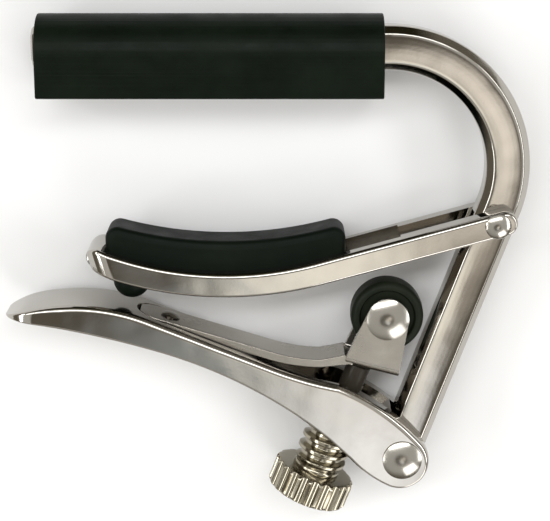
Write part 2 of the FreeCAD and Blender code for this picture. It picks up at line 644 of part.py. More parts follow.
def main():
    make_frame_bar()
    make_sleeve()
    make_neck_arm()
    make_neck_pad()
    make_toe_bumper()
    make_clamp_lever()
    make_roller_bracket()
    make_roller()
    make_leaf_rivet()
    half_bar_link = f"({HALF_LINK} + dims.running_gap)"
    make_rivet("arm_rivet", *ARM_PIVOT, "dims.arm_shank", "dims.arm_head", "dims.arm_dome", half_bar_link)
    make_rivet("lever_rivet", *LEVER_PIVOT, "dims.low_shank", "dims.low_head", "dims.low_dome",
               half_bar_link)
    make_rivet("roller_axle", "dims.axle_x", "-dims.axle_y", "dims.axle_shank", "dims.axle_head",
               "dims.axle_dome", "(dims.ear_outside / 2)")
    make_adjusting_screw()
    make_thumb_knob()
    make_screw_tip()

    doc.recompute()
    bad = [o.Name for o in doc.Objects if {"Invalid", "Error"} & set(o.State)]
    bad += [b.Label for b in NODES if b.Shape.isNull() or not b.Shape.isValid()]
    if bad:
        raise RuntimeError(f"failed objects: {bad}")
    os.makedirs("parts", exist_ok=True)
    for body in NODES:
        body.Shape.exportStep(f"parts/{body.Label}.step")
        box = body.Shape.BoundBox
        print(f"{body.Label:18s} {body.Shape.Volume:9.1f} mm3  solids {len(body.Shape.Solids)}  "
              f"x {box.XMin:.1f}..{box.XMax:.1f}  y {box.YMin:.1f}..{box.YMax:.1f}  "
              f"z {box.ZMin:.1f}..{box.ZMax:.1f}")


main()
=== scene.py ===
"""Looks of the over-centre roller capo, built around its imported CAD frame.

Lengths in this file are millimetres in the capo's own frame until mesh_piece() turns them into
metres.  Lights, camera and shader distances are in metres.  Every piece repeats the sizes of the
CAD solid that it replaces, with rounded edges and a real thread added.
"""

import math

import bmesh
import bpy
import numpy as np
from mathutils import Matrix, Vector


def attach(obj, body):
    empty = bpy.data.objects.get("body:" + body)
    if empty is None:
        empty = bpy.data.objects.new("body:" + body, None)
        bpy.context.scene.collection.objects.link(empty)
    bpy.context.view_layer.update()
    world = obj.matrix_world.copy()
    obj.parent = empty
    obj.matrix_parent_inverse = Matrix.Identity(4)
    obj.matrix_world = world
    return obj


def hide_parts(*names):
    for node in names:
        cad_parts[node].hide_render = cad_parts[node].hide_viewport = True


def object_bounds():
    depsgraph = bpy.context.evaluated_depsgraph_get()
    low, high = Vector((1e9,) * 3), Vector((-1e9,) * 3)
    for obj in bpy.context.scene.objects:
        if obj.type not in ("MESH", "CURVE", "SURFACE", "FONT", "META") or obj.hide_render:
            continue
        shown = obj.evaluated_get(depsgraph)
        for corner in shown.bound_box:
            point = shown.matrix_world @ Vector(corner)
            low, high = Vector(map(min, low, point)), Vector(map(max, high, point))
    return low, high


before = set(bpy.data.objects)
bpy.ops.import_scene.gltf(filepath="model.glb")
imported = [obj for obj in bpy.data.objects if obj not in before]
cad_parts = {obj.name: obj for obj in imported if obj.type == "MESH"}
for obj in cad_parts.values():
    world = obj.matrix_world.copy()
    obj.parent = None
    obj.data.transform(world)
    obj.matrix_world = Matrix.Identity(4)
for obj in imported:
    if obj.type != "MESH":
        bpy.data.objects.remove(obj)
cad_bounds = [list(corner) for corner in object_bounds()]

MM = 0.001
LINK_HALF = 6.0                 # half the width of the arm and of the lever
CHANNEL_HALF = 3.95             # half the width of the pad's tray and of the lever's channel
FORK_HALF = 2.8                 # half the width of the fork in the arm and in the lever
THROUGH = 8.0                   # half the length of a cutter that goes right through
LEAN = math.radians(20.0)       # the column leans this far off the sleeve's normal
SLOPE = math.radians(15.5)      # the arm's straight stretch rises this much
SWEEP = math.radians(36.7)      # the arm's sagging stretch turns this far
BEND_X, BEND_Y, BEND_R = 28.0, -11.7, 19.15     # the bend's centre and its radius
BAR_Y = 7.45                    # the top run's centre line
BAR_HALF, BAR_DEEP, BAR_EDGE = 3.475, 2.7, 1.15  # half its height, half its depth, its chamfer
COLUMN = 44.0                   # from the bend to the lever's pivot


def on_column(distance):
    """The point of the column's centre line that far from the bend."""
    return (BEND_X + BEND_R * math.cos(LEAN) - distance * math.sin(LEAN),
            BEND_Y - BEND_R * math.sin(LEAN) - distance * math.cos(LEAN))


ARM_PIVOT = on_column(2.0)
LEVER_PIVOT = on_column(COLUMN)
AXLE = (28.35, -36.2)


# --- Outlines -----------------------------------------------------------------------------------

def through(corners, bends=None, step=0.4):
    """A closed outline through the corners; bends gives the signed radius of the edges that are
    arcs, by first corner, positive turning counter-clockwise."""
    bends = bends or {}
    points = []
    for i, start in enumerate(corners):
        a = np.array(start, float)
        b = np.array(corners[(i + 1) % len(corners)], float)
        length = np.linalg.norm(b - a)
        if i not in bends:
            count = max(1, round(length / step))
            points += [a + (b - a) * k / count for k in range(count)]
            continue
        radius = bends[i]
        across = np.array([-(b - a)[1], (b - a)[0]]) / length
        rise = math.sqrt(max(radius * radius - length * length / 4, 0.0))
        centre = (a + b) / 2 + across * rise * math.copysign(1, radius)
        t0 = math.atan2(*(a - centre)[::-1])
        t1 = math.atan2(*(b - centre)[::-1])
        turn = (t1 - t0) % (2 * math.pi)
        if radius < 0:
            turn -= 2 * math.pi
        size = abs(radius)
        count = max(4, round(abs(turn) * size / step), round(abs(turn) / 0.12))
        angles = [t0 + turn * k / count for k in range(count)]
        points += [centre + size * np.array([math.cos(t), math.sin(t)]) for t in angles]
    return np.array(points)


def inward(outline):
    """Mitred inward normals of a counter-clockwise outline."""
    before = outline - np.roll(outline, 1, axis=0)
    after = np.roll(outline, -1, axis=0) - outline
    left = []
    for step in (before, after):
        step = step / np.linalg.norm(step, axis=1)[:, None]
        left.append(np.stack([-step[:, 1], step[:, 0]], axis=1))
    mean = left[0] + left[1]
    mean /= np.linalg.norm(mean, axis=1)[:, None]
    reach = np.maximum((mean * left[0]).sum(axis=1), 0.6)
    return mean / reach[:, None]


def area(outline):
    x, y = outline[:, 0], outline[:, 1]
    return 0.5 * np.sum(x * np.roll(y, -1) - np.roll(x, -1) * y)


def facing_rim(outline, upper, lower):
    """A rim radius that changes smoothly from the edges that face up to those that face down."""
    if area(outline) < 0:
        outline = outline[::-1]
    up = -inward(outline)[:, 1]
    for _ in range(6):
        up = (np.roll(up, 1) + up + np.roll(up, -1)) / 3
    return lower + (upper - lower) * (0.5 + 0.5 * np.clip(up * 1.5, -1, 1))


def rounded_polygon(corners, radius):
    """A closed polygon with its corners rounded."""
    steps = 3
    points = []
    for i, corner in enumerate(corners):
        p = np.array(corner, float)
        before = np.array(corners[i - 1], float) - p
        after = np.array(corners[(i + 1) % len(corners)], float) - p
        a = p + before / np.linalg.norm(before) * radius
        b = p + after / np.linalg.norm(after) * radius
        for k in range(steps + 1):
            t = k / steps
            points.append((1 - t) ** 2 * a + 2 * t * (1 - t) * p + t * t * b)
    return np.array(points)


def quarter(distance, radius):
    """How far a quarter circle has risen at a distance from its start."""
    d = min(max(distance, 0.0), radius)
    return math.sqrt(radius ** 2 - (radius - d) ** 2)


def dome(radius, low, rise):
    """Profile points of a dome from its rim to the axis."""
    steps = 12
    crown = (radius ** 2 + rise ** 2) / (2 * rise)
    widest = math.asin(min(radius / crown, 1.0))
    points = []
    for k in range(steps + 1):
        t = widest * (1 - k / steps)
        points.append((crown * math.sin(t), low + rise - crown * (1 - math.cos(t))))
    points[-1] = (0, low + rise)
    return points


# --- Meshes -------------------------------------------------------------------------------------

def mesh_piece(name, verts, faces, sharp=32.0):
    """A new object from a mesh in millimetres, with edges sharper than the angle kept crisp."""
    mesh = bpy.data.meshes.new(name)
    mesh.from_pydata([Vector(v) * MM for v in verts], [], faces)
    mesh.validate()
    piece = bpy.data.objects.new(name, mesh)
    bpy.context.scene.collection.objects.link(piece)
    soften(piece, sharp)
    return piece


def soften(piece, sharp=32.0):
    mesh = piece.data
    mesh.shade_smooth()
    mesh.set_sharp_from_angle(angle=math.radians(sharp))


def loft(rings, close_start=True, close_end=True):
    """Quads between closed rings of equal length, with a face on each end."""
    size = len(rings[0])
    verts = [tuple(p) for ring in rings for p in ring]
    faces = []
    for r in range(len(rings) - 1):
        for i in range(size):
            j = (i + 1) % size
            faces.append((r * size + i, r * size + j, (r + 1) * size + j, (r + 1) * size + i))
    if close_start:
        faces.append(tuple(range(size - 1, -1, -1)))
    if close_end:
        last = (len(rings) - 1) * size
        faces.append(tuple(range(last, last + size)))
    return verts, faces


def plate(name, outline, half, edge, place, steps=5, crown=0.0, crown_width=1.0, squeeze=None):
    """An outline extruded to both sides, with rounded rims.  edge is the rim's radius, for each
    point or for all; crown lifts the faces' middle; squeeze is explained in settle()."""
    if area(outline) < 0:
        outline = outline[::-1]
    normals = inward(outline)
    ones = np.ones(len(outline))
    rim = np.asarray(edge, float) * ones
    lift = crown / 2
    turns = [math.pi / 2 * k / steps for k in range(steps + 1)]
    crowns = [(1.0, 1.0), (0.62, 0.85), (0.3, 0.5)] if crown else []
    rings = []

    def ring(inset, height):
        flat = outline + normals * inset[:, None]
        rings.append(np.column_stack([flat, height]))

    for part, rise in crowns:
        ring(rim * (1 + crown_width * part), (-half - lift * rise) * ones)
    for t in reversed(turns):
        ring(rim * (1 - math.cos(t)), -half + rim * (1 - math.sin(t)))
    for t in turns:
        ring(rim * (1 - math.cos(t)), half - rim * (1 - math.sin(t)))
    for part, rise in reversed(crowns):
        ring(rim * (1 + crown_width * part), (half + lift * rise) * ones)
    return settle(mesh_piece(name, *loft(rings)), place, squeeze)


def settle(piece, place, squeeze=None):
    """Narrows a flat piece towards one end, then moves it to its place.  squeeze is the start and
    end of the narrowed stretch along X, and a function that gives the scale of Z there.  The piece
    is cut at stations first, closer together near the start, so that its faces stay flat."""
    mesh = piece.data
    if squeeze:
        start, stop, scale = squeeze
        stations = 12
        grid = bmesh.new()
        grid.from_mesh(mesh)
        for k in range(1, stations + 1):
            x = (start + (stop - start) * (k / stations) ** 1.5) * MM
            everything = grid.verts[:] + grid.edges[:] + grid.faces[:]
            bmesh.ops.bisect_plane(grid, geom=everything, dist=1e-8,
                                   plane_co=(x, 0, 0), plane_no=(1, 0, 0))
        for vert in grid.verts:
            vert.co.z *= scale(vert.co.x / MM)
        grid.to_mesh(mesh)
        grid.free()
        soften(piece)
    matrix = place.copy()
    matrix.translation *= MM
    mesh.transform(matrix)
    return piece


def lathe(name, profile, place, count=96, sharp=40.0, radius_at=None):
    """A solid turned about local Z from a profile of (radius, height) that starts and ends on the
    axis; radius_at can change a radius with the angle and height."""
    verts = [place @ Vector((0, 0, profile[0][1]))]
    rings = profile[1:-1]
    for r, h in rings:
        for i in range(count):
            t = 2 * math.pi * i / count
            size = radius_at(r, h, t) if radius_at else r
            verts.append(place @ Vector((size * math.cos(t), size * math.sin(t), h)))
    verts.append(place @ Vector((0, 0, profile[-1][1])))
    faces = [(0, 1 + (i + 1) % count, 1 + i) for i in range(count)]
    for k in range(len(rings) - 1):
        a, b = 1 + k * count, 1 + (k + 1) * count
        faces += [(a + i, a + (i + 1) % count, b + (i + 1) % count, b + i) for i in range(count)]
    top = 1 + (len(rings) - 1) * count
    faces += [(top + i, top + (i + 1) % count, len(verts) - 1) for i in range(count)]
    return mesh_piece(name, verts, faces, sharp=sharp)


def ring_solid(name, profile, place, count=96):
    """A solid of revolution whose closed profile stays off the axis."""
    verts, faces = [], []
    size = len(profile)
    for i in range(count):
        t = 2 * math.pi * i / count
        verts += [place @ Vector((r * math.cos(t), r * math.sin(t), h)) for r, h in profile]
    for i in range(count):
        a, b = i * size, (i + 1) % count * size
        faces += [(a + k, b + k, b + (k + 1) % size, a + (k + 1) % size) for k in range(size)]
    return mesh_piece(name, verts, faces, sharp=40)


def apply_modifiers(piece):
    """Turns what the piece's modifiers show into its mesh."""
    bpy.context.view_layer.update()
    evaluated = piece.evaluated_get(bpy.context.evaluated_depsgraph_get())
    mesh = bpy.data.meshes.new_from_object(evaluated)
    piece.modifiers.clear()
    old = piece.data
    piece.data = mesh
    bpy.data.meshes.remove(old)


def combine(piece, other, how):
    """Joins or intersects the piece with another one, which is used up."""
    change = piece.modifiers.new("combine", "BOOLEAN")
    change.operation = how
    change.solver = "EXACT"
    change.object = other
    apply_modifiers(piece)
    bpy.data.objects.remove(other)


def cut(piece, *cutters, sharp=32.0, bevel=0.0):
    """Takes the cutters out of the piece, rounds the new edges a little and drops the cutters."""
    for cutter in cutters:
        change = piece.modifiers.new("cut", "BOOLEAN")
        change.operation = "DIFFERENCE"
        change.solver = "EXACT"
        change.object = cutter
    if bevel:
        round_off = piece.modifiers.new("round", "BEVEL")
        round_off.width = bevel * MM
        round_off.segments = 2
        round_off.limit_method = "ANGLE"
        round_off.angle_limit = math.radians(50)
        round_off.use_clamp_overlap = False
    apply_modifiers(piece)
    for cutter in cutters:
        bpy.data.objects.remove(cutter)
    soften(piece, sharp)


def block(name, outline, low, high, place, squeeze=None):
    """A plain extruded outline, as a cutter or to be cut."""
    if area(outline) < 0:
        outline = outline[::-1]
    rings = [np.column_stack([outline, np.full(len(outline), z)]) for z in (low, high)]
    return settle(mesh_piece(name, *loft(rings)), place, squeeze)


def rod(name, radius, low, high, place):
    """A plain round cutter about local Z."""
    return lathe(name, [(0, low), (radius, low), (radius, high), (0, high)], place, 64)


def at(x, y, turn=0.0):
    """A placement at x, y, turned about Z."""
    return Matrix.Translation((x, y, 0)) @ Matrix.Rotation(turn, 4, "Z")


def along(x, y, direction):
    """A placement at x, y whose local Z is the direction, in the XY plane."""
    d = Vector((direction[0], direction[1], 0)).normalized()
    turn = Matrix(((d.y, 0, d.x), (-d.x, 0, d.y), (0, -1, 0))).to_4x4()
    return Matrix.Translation((x, y, 0)) @ turn


# --- Materials ----------------------------------------------------------------------------------

class Surface:
    """A small wrapper that builds one Principled material from noise layers in object space."""

    def __init__(self, name, metallic=0.0, roughness=0.4):
        self.material = bpy.data.materials.new(name)
        self.material.use_nodes = True
        self.nodes = self.material.node_tree.nodes
        self.links = self.material.node_tree.links
        self.shader = self.nodes["Principled BSDF"]
        self.shader.inputs["Metallic"].default_value = metallic
        self.shader.inputs["Roughness"].default_value = roughness
        self.place = self.nodes.new("ShaderNodeTexCoord").outputs["Object"]

    def noise(self, scale, detail=3.0, rough=0.55, stretch=(1, 1, 1)):
        mapping = self.nodes.new("ShaderNodeMapping")
        mapping.inputs["Scale"].default_value = stretch
        self.links.new(self.place, mapping.inputs["Vector"])
        node = self.nodes.new("ShaderNodeTexNoise")
        node.inputs["Scale"].default_value = scale
        node.inputs["Detail"].default_value = detail
        node.inputs["Roughness"].default_value = rough
        self.links.new(mapping.outputs["Vector"], node.inputs["Vector"])
        return node.outputs["Fac"]

    def ramp(self, value, stops):
        node = self.nodes.new("ShaderNodeValToRGB")
        ramp = node.color_ramp
        for i, (place, colour) in enumerate(stops):
            stop = ramp.elements[i] if i < 2 else ramp.elements.new(place)
            stop.position = place
            stop.color = (*colour, 1)
        self.links.new(value, node.inputs["Fac"])
        return node.outputs["Color"]

    def span(self, value, low, high):
        """The middle of the noise's range, spread from low to high."""
        node = self.nodes.new("ShaderNodeMapRange")
        node.inputs["From Min"].default_value = 0.3
        node.inputs["From Max"].default_value = 0.7
        node.inputs["To Min"].default_value = low
        node.inputs["To Max"].default_value = high
        self.links.new(value, node.inputs["Value"])
        return node.outputs["Result"]

    def bump(self, value, strength, distance, under=None):
        node = self.nodes.new("ShaderNodeBump")
        node.inputs["Strength"].default_value = strength
        node.inputs["Distance"].default_value = distance
        self.links.new(value, node.inputs["Height"])
        if under is not None:
            self.links.new(under, node.inputs["Normal"])
        return node.outputs["Normal"]

    def wire(self, socket, value):
        self.links.new(value, self.shader.inputs[socket])


def plated(name, dark, light, low, high, grain=0.25, stretch=(1, 1, 1)):
    """Polished plating: a slight tint change, uneven gloss, slight waves and fine grain."""
    s = Surface(name, metallic=1.0)
    s.wire("Base Color", s.ramp(s.noise(90, 4), [(0.3, dark), (0.7, light)]))
    s.wire("Roughness", s.span(s.noise(160, 5, 0.6), low, high))
    waves = s.bump(s.noise(70, 2), 0.30, 0.0004)
    s.wire("Normal", s.bump(s.noise(900, 4, 0.7, stretch), grain, 0.00001, waves))
    return s.material


def rubber(name, dark, light, rough, fine, lines=None):
    """Moulded or extruded rubber: mottled bloom, fine grain, and extrusion lines where given."""
    s = Surface(name)
    s.wire("Base Color", s.ramp(s.noise(130, 5, 0.65), [(0.3, dark), (0.72, light)]))
    s.wire("Roughness", s.span(s.noise(220, 4), rough - 0.07, rough + 0.09))
    grain = s.bump(s.noise(fine, 4, 0.7), 0.35, 0.00006)
    if lines:
        grain = s.bump(s.noise(1.0, 3, 0.75, lines), 0.55, 0.00012, grain)
    s.wire("Normal", grain)
    s.shader.inputs["Specular IOR Level"].default_value = 0.09
    return s.material


NICKEL = plated("polished_nickel", (0.415, 0.392, 0.355), (0.455, 0.435, 0.400), 0.05, 0.12)
RIVET = plated("rivet_nickel", (0.35, 0.33, 0.295), (0.42, 0.40, 0.36), 0.14, 0.24)
SPRING = plated("spring_steel", (0.34, 0.318, 0.28), (0.41, 0.388, 0.35), 0.20, 0.30,
                grain=0.2, stretch=(1, 6, 1))
SCREW = plated("screw_nickel", (0.27, 0.245, 0.185), (0.37, 0.34, 0.27), 0.12, 0.22)
SLEEVE = rubber("sleeve_rubber", (0.001, 0.003, 0.001), (0.003, 0.007, 0.003), 0.42, 1500,
                lines=(6, 900, 900))
PAD = rubber("pad_rubber", (0.001, 0.003, 0.0015), (0.0035, 0.0065, 0.0035), 0.5, 1900)
TYRE = rubber("roller_rubber", (0.006, 0.009, 0.005), (0.013, 0.016, 0.009), 0.42, 1700)
PLASTIC = rubber("tip_plastic", (0.02, 0.017, 0.013), (0.04, 0.034, 0.026), 0.24, 1200)


def flatten_normals(piece):
    """Keeps wide faces flat to the eye beside their small rounded rims."""
    change = piece.modifiers.new("normals", "WEIGHTED_NORMAL")
    change.keep_sharp = True
    change.weight = 60
    apply_modifiers(piece)


def finish_piece(piece, material, body, slot, *nodes):
    """Flattens the piece's normals, gives it its material, hides the CAD nodes it replaces and hangs it
    from its body.
    """
    flatten_normals(piece)
    piece.data.materials.clear()
    piece.data.materials.append(material)
    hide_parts(*nodes)
    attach(piece, body)


# --- The frame: bar and sleeve ------------------------------------------------------------------

def bar_section():
    """The bar's section: across it first, depth second; the wide faces are a little crowned."""
    w, d, c, crown = BAR_HALF, BAR_DEEP, BAR_EDGE, 0.05
    points = [(w, -d + c), (w, d - c), (w - c, d)]
    crowned = [0.66, 0.33, 0.0, -0.33, -0.66]
    points += [((w - c) * s, d + crown * (1 - s * s)) for s in crowned]
    points += [(-w + c, d), (-w, d - c), (-w, -d + c), (-w + c, -d)]
    points += [((w - c) * s, -d - crown * (1 - s * s)) for s in reversed(crowned)]
    points += [(w - c, -d)]
    return rounded_polygon(points, 0.2)


def make_bar():
    """The section swept along the bar: a rounded end, the top run, the bend, the column and its
    half-round foot.  Each station is a point, the sweep's turn there and the section's scale."""
    rounded = ((-27.9, 0.72), (-27.75, 0.84), (-27.5, 0.93), (-27.2, 0.98), (-26.8, 1.0))
    straight_from = rounded[-1][0]
    stations = [((x, BAR_Y), 0.0, scale) for x, scale in rounded]
    runs = 28
    for k in range(1, runs):
        x = straight_from + (BEND_X - straight_from) * k / runs
        stations.append(((x, BAR_Y), 0.0, 1.0))
    turns = 72
    for k in range(turns + 1):
        t = (math.pi / 2 + LEAN) * k / turns
        stations.append(((BEND_X + BEND_R * math.sin(t), BEND_Y + BEND_R * math.cos(t)), t, 1.0))
    down = math.pi / 2 + LEAN
    steps = 30
    for k in range(1, steps + 1):
        stations.append((on_column(COLUMN * k / steps), down, 1.0))
    steps = 8
    for k in range(1, steps + 1):
        t = math.pi / 2 * k / steps
        stations.append((on_column(COLUMN + BAR_HALF * math.sin(t)), down, max(math.cos(t), 0.05)))
    rings = []
    for (x, y), turn, scale in stations:
        across = (math.sin(turn), math.cos(turn))
        section = bar_section() * (scale, 1)
        rings.append([(x + across[0] * w, y + across[1] * w, depth) for w, depth in section])
    for ring, (_, scale) in zip(rings, rounded):
        for i, p in enumerate(ring):
            ring[i] = (p[0], p[1], p[2] * scale)
    sharp = 48
    bar = mesh_piece("bar", *loft([r[::-1] for r in rings]), sharp=sharp)
    cut(bar, rod("hole", 1.25, -THROUGH, THROUGH, at(*ARM_PIVOT)),
        rod("hole", 2.02, -THROUGH, THROUGH, at(*LEVER_PIVOT)), sharp=sharp)
    finish_piece(bar, NICKEL, "frame", "polished_nickel", "frame_bar")


def make_sleeve():
    """A tube: outside it is flat to the strings and round on top, inside it has the bar's section."""
    half, height, edge, end, rim = 6.0, 12.6, 0.5, 27.0, 0.22
    outer = through([(edge, -half), (height - half, -half), (height, 0), (height - half, half),
                     (edge, half), (0, half - edge), (0, edge - half)],
                    {1: half, 2: half, 4: edge, 6: edge}, 0.3)
    count = len(outer)
    middle = np.array([BAR_Y, 0.0])
    wide, deep = BAR_HALF - BAR_EDGE, BAR_DEEP - BAR_EDGE
    section = rounded_polygon([(BAR_HALF, -deep), (BAR_HALF, deep), (wide, BAR_DEEP),
                               (-wide, BAR_DEEP), (-BAR_HALF, deep), (-BAR_HALF, -deep),
                               (-wide, -BAR_DEEP), (wide, -BAR_DEEP)], 0.15)

    # the bore is the bar's section, seen from the middle along the way to each outer point
    bore = []
    for p in outer:
        d = (p - middle) / np.linalg.norm(p - middle)
        reach = []
        for i in range(len(section)):
            a, b = section[i - 1], section[i]
            e = b - a
            m = d[0] * e[1] - d[1] * e[0]
            if abs(m) < 1e-9:
                continue
            t = (a[0] * e[1] - a[1] * e[0]) / m
            s = (a[0] * d[1] - a[1] * d[0]) / m
            if t > 0 and -1e-6 <= s <= 1 + 1e-6:
                reach.append(t)
        bore.append(middle + d * min(reach))
    bore = np.array(bore)
    normals = inward(outer) * math.copysign(1, area(outer))
    rims = []
    for part in (1.0, 0.6, 0.3, 0.0):
        t = math.pi / 2 * part
        rims.append((outer + normals * rim * (1 - math.cos(t)), end - rim * (1 - math.sin(t))))
    walls = [(flat, -x) for flat, x in rims] + rims[::-1] + [(bore, end), (bore, -end)]
    rings = [[(x, p[0], p[1]) for p in flat] for flat, x in walls]
    verts, faces = loft(rings, False, False)
    last = (len(rings) - 1) * count
    faces += [(last + i, last + (i + 1) % count, (i + 1) % count, i) for i in range(count)]
    sleeve = mesh_piece("sleeve", verts, faces, sharp=40)
    finish_piece(sleeve, SLEEVE, "frame", "sleeve_rubber", "fretboard_sleeve")


# --- Neck arm -----------------------------------------------------------------------------------

ARM_PLACE = at(*ARM_PIVOT, SLOPE)
ARM_HALF = 1.95                 # half the arm's height
ARM_STRAIGHT = 29.0             # from its pivot to where it starts to sag
ARM_SLOT = -15.2                # where the tray ends and the fork begins
SAG = 56.85                     # the radius of its centre line from there on
SAG_CENTRE = (ARM_PIVOT[0] - ARM_STRAIGHT * math.cos(SLOPE) - SAG * math.sin(SLOPE),
              ARM_PIVOT[1] - ARM_STRAIGHT * math.sin(SLOPE) + SAG * math.cos(SLOPE))
BUMPER_LEAN = math.radians(15)


def arm_point(radius, back=SWEEP):
    """A point of the sagging stretch in the arm's own frame, at an angle past its start."""
    return (-ARM_STRAIGHT - radius * math.sin(back), SAG - radius * math.cos(back))


def bumper_seat():
    """Where the bumper sits on the arm's lower side."""
    reach = SAG + ARM_HALF
    return (SAG_CENTRE[0] - reach * math.sin(BUMPER_LEAN), SAG_CENTRE[1] - reach * math.cos(BUMPER_LEAN))


def make_arm():
    """The arm, with a tray for the pad above, a fork at the column and a hole for the bumper."""
    half, tail, nose_round = ARM_HALF, 1.25, 3.8
    upper, lower = SAG - half, SAG + half
    nose = arm_point(SAG)
    tip = (nose[0] - half * math.cos(SWEEP), nose[1] + half * math.sin(SWEEP))
    outline = through([(tail, -half), (tail + half, 0), (tail, half), (-ARM_STRAIGHT, half),
                       arm_point(upper), tip, arm_point(lower), (-ARM_STRAIGHT, -half)],
                      {0: half, 1: half, 3: -upper, 4: half, 5: half, 6: lower}, 0.35)

    def narrowed(x):
        return (LINK_HALF - nose_round + quarter(x - tip[0], nose_round)) / LINK_HALF
    arm = plate("arm", outline, LINK_HALF, facing_rim(outline, 0.8, 0.45), ARM_PLACE,
                squeeze=(tip[0], tip[0] + nose_round, narrowed))
    gauge, corner = 1.5, 2.2
    above, floor = upper - 3, lower - gauge
    wall = SWEEP - 0.6 / SAG
    inside = arm_point(floor, wall)[0]

    def rounded_in(x):
        return (CHANNEL_HALF - corner + quarter(x - inside, corner)) / CHANNEL_HALF
    tray = through([(ARM_SLOT, 6), arm_point(above, 0), arm_point(above, wall), arm_point(floor, wall),
                    (-ARM_STRAIGHT, gauge - half), (ARM_SLOT, gauge - half)],
                   {1: -above, 3: floor}, 0.5)
    fork = through([(ARM_SLOT, 6), (ARM_SLOT, -6), (6, -6), (6, 6)], step=50)
    button = along(*bumper_seat(), (math.sin(BUMPER_LEAN), math.cos(BUMPER_LEAN)))
    cut(arm,
        block("tray", tray, -CHANNEL_HALF, CHANNEL_HALF, ARM_PLACE,
              (inside, inside + corner, rounded_in)),
        block("fork", fork, -FORK_HALF, FORK_HALF, ARM_PLACE),
        rod("hole", 1.25, -THROUGH, THROUGH, ARM_PLACE),
        rod("hole", 1.32, -1, 3, button))
    finish_piece(arm, NICKEL, "arm", "polished_nickel", "neck_arm")


def make_pad():
    """A moulded block on the tray's floor, hollowed on top to the neck's back."""
    bed, hollow, reach, corner, width = SAG + 0.45, 64.0, 19.2, 1.9, 7.6
    crest = -23.2 - SAG_CENTRE[1] + hollow
    low = -math.sqrt(bed ** 2 - reach ** 2)
    high = crest - math.sqrt(hollow ** 2 - reach ** 2)
    outline = through([(-reach, low), (reach, low), (reach, high - 2.53), (reach - 2.42, high - 0.75),
                       (-reach + 2.42, high - 0.75), (-reach, high - 2.53)],
                      {0: bed, 2: corner, 3: -hollow, 4: corner}, 0.35)
    rim = 0.3 + 0.65 * np.clip((outline[:, 1] - low - 0.4) / 1.5, 0, 1)
    pad = plate("pad", outline, width / 2, rim, at(*SAG_CENTRE), crown=0.2, crown_width=0.6)
    finish_piece(pad, PAD, "arm", "pad_rubber", "neck_pad")


def make_bumper():
    place = along(*bumper_seat(), (-math.sin(BUMPER_LEAN), -math.cos(BUMPER_LEAN)))
    stem, radius = 1.3, 3.0
    profile = [(0, -1.5), (stem, -1.5), (stem, 0), (radius - 0.15, 0), (radius, 0.15), (radius, 0.5)]
    profile += dome(radius, 0.9, 2.6)
    bumper = lathe("bumper", profile, place)
    finish_piece(bumper, PAD, "arm", "pad_rubber", "toe_bumper")


# --- Lever --------------------------------------------------------------------------------------

LEAF_RIVET = (LEVER_PIVOT[0] - 38.3, LEVER_PIVOT[1] + 21.75)
LEAF_AXIS = (math.sin(math.radians(17.1)), math.cos(math.radians(17.1)))
SCREW_AXIS = (math.sin(math.radians(21)), math.cos(math.radians(21)))
KNOB = (15.3, -67.7)            # the knob's outer face, on the screw's axis


def screw_point(distance):
    """The point of the screw's axis that far from the knob's outer face."""
    return (KNOB[0] + distance * SCREW_AXIS[0], KNOB[1] + distance * SCREW_AXIS[1])


def make_lever():
    """The lever, with a rounded finger tab, a channel for the strip and a fork for the column."""
    end, tab, tab_round = 4.75, -64.7, 5.0
    place = at(*LEVER_PIVOT)

    def end_point(angle):
        t = math.radians(angle)
        return (end * math.cos(t) - 0.3, end * math.sin(t) - 0.35)
    outline = through([end_point(40), (-10.4, 12.6), (-21.0, 15.7), (-41.5, 24.0), (-64.5, 24.07),
                       (-64.5, 23.8), (-41.0, 18.85), (-11.9, 3.35), (-8.4, 0.0), end_point(-110),
                       end_point(0)],
                      {0: 38, 1: -60, 3: 31, 4: 0.2, 5: -150, 6: -78, 8: 19, 9: end, 10: end}, 0.4)
    thin = 0.12
    away = outline[:, 0] - tab
    rim = thin + (facing_rim(outline, 1.0, 0.45) - thin) * np.clip(away / 9.0, 0, 1) ** 0.9

    def narrowed(x):
        return (LINK_HALF - tab_round + quarter(x - tab, tab_round)) / LINK_HALF
    lever = plate("lever", outline, LINK_HALF, rim, place, squeeze=(tab, tab + tab_round, narrowed))
    start = -43.4

    def pocket_end(x):
        return (0.15 + 0.962 * quarter(x - start, CHANNEL_HALF)) / CHANNEL_HALF
    channel = through([(start, 28), (start, 22.75), (-36.4, 20.6), (-35.6, 19.4), (-8.6, 7.3),
                       (-7, 7.3), (-7, 28)], step=60)
    clearance = 0.65
    left = -(BAR_HALF + clearance)
    c, s = math.cos(LEAN), math.sin(LEAN)
    fork = through([(-7.5, 28), (-7.5, 7.3), (left * c + 6.5 * s, -left * s + 6.5 * c),
                    (left * c, -left * s), (left * s, left * c), (0.5, -8), (9, -8), (9, 28)],
                   {3: -left}, 1.0)
    screw = along(*screw_point(9.5), SCREW_AXIS)
    cut(lever,
        block("channel", channel, -CHANNEL_HALF, CHANNEL_HALF, place, (start, -39.5, pocket_end)),
        block("fork", fork, -FORK_HALF, FORK_HALF, place),
        rod("bore", 4.35, 0, 9.5, screw),
        rod("hole", 2.05, -THROUGH, THROUGH, place),
        rod("hole", 0.92, -2.75, 1, along(*LEAF_RIVET, LEAF_AXIS)))
    finish_piece(lever, NICKEL, "lever", "polished_nickel", "clamp_lever")


